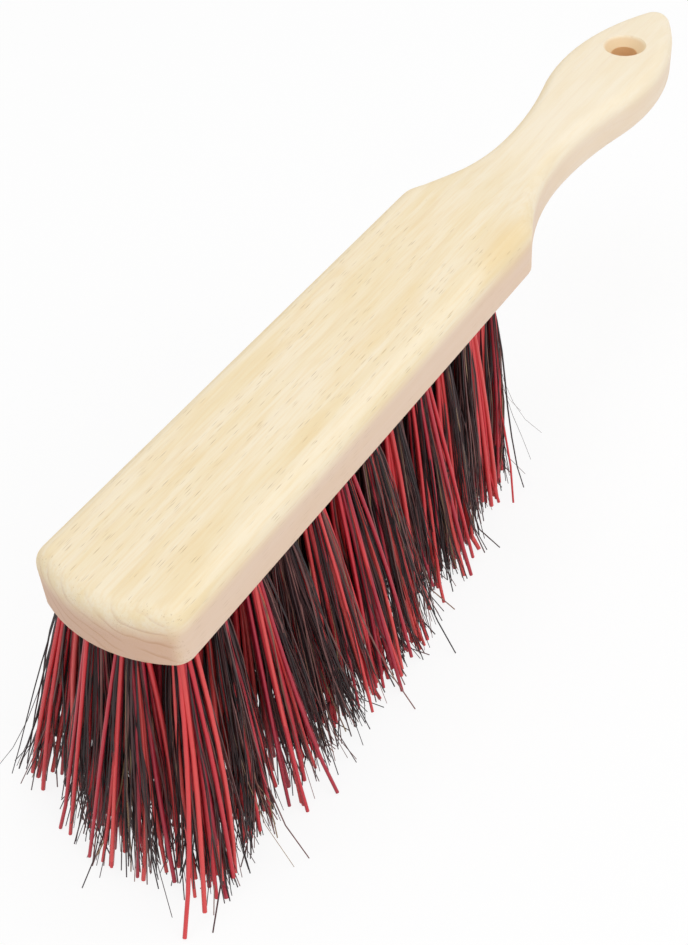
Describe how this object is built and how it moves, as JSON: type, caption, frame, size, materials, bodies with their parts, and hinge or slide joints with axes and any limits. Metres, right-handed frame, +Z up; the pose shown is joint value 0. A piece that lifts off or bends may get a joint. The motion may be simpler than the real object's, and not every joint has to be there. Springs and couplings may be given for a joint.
{
  "type": "hand broom",
  "caption": "Wooden hand broom: one beech block with a shaped handle and hanging hole, and fanned red and dark bristle tufts set on steel anchors in its underside.",
  "frame": {"origin": "on the floor, under the middle of the broom's whole length, on its plane of symmetry", "axes": "+X along the broom towards the handle's tip, +Y to the left when looking along +X, +Z up; the broom stands on its bristle tips"},
  "size_m": [0.3148, 0.0656, 0.082],
  "materials": {
    "beech_wood": "fine-sanded beech, unvarnished, with short darker flecks along the grain",
    "bristle_red": "satin red plastic filament",
    "bristle_dark": "dark brown to black fibre, slightly crooked",
    "anchor_steel": "bare flat steel strip"
  },
  "bodies": {
    "root": {"anchors": "anchor_steel", "block": "beech_wood", "tuft_left_inner_01": "bristle_dark", "tuft_left_inner_02": "bristle_red", "tuft_left_inner_03": "bristle_dark", "tuft_left_inner_04": "bristle_red", "tuft_left_inner_05": "bristle_dark", "tuft_left_inner_06": "bristle_red", "tuft_left_inner_07": "bristle_dark", "tuft_left_inner_08": "bristle_red", "tuft_left_inner_09": "bristle_dark", "tuft_left_inner_10": "bristle_red", "tuft_left_inner_11": "bristle_dark", "tuft_left_inner_12": "bristle_red", "tuft_left_outer_01": "bristle_dark", "tuft_left_outer_02": "bristle_red", "tuft_left_outer_03": "bristle_dark", "tuft_left_outer_04": "bristle_red", "tuft_left_outer_05": "bristle_dark", "tuft_left_outer_06": "bristle_red", "tuft_left_outer_07": "bristle_dark", "tuft_left_outer_08": "bristle_red", "tuft_left_outer_09": "bristle_dark", "tuft_left_outer_10": "bristle_red", "tuft_left_outer_11": "bristle_dark", "tuft_left_outer_12": "bristle_red", "tuft_right_inner_01": "bristle_dark", "tuft_right_inner_02": "bristle_red", "tuft_right_inner_03": "bristle_dark", "tuft_right_inner_04": "bristle_red", "tuft_right_inner_05": "bristle_dark", "tuft_right_inner_06": "bristle_red", "tuft_right_inner_07": "bristle_dark", "tuft_right_inner_08": "bristle_red", "tuft_right_inner_09": "bristle_dark", "tuft_right_inner_10": "bristle_red", "tuft_right_inner_11": "bristle_dark", "tuft_right_inner_12": "bristle_red", "tuft_right_outer_01": "bristle_dark", "tuft_right_outer_02": "bristle_red", "tuft_right_outer_03": "bristle_dark", "tuft_right_outer_04": "bristle_red", "tuft_right_outer_05": "bristle_dark", "tuft_right_outer_06": "bristle_red", "tuft_right_outer_07": "bristle_dark", "tuft_right_outer_08": "bristle_red", "tuft_right_outer_09": "bristle_dark", "tuft_right_outer_10": "bristle_red", "tuft_right_outer_11": "bristle_dark", "tuft_right_outer_12": "bristle_red"}
  },
  "joints": []
}
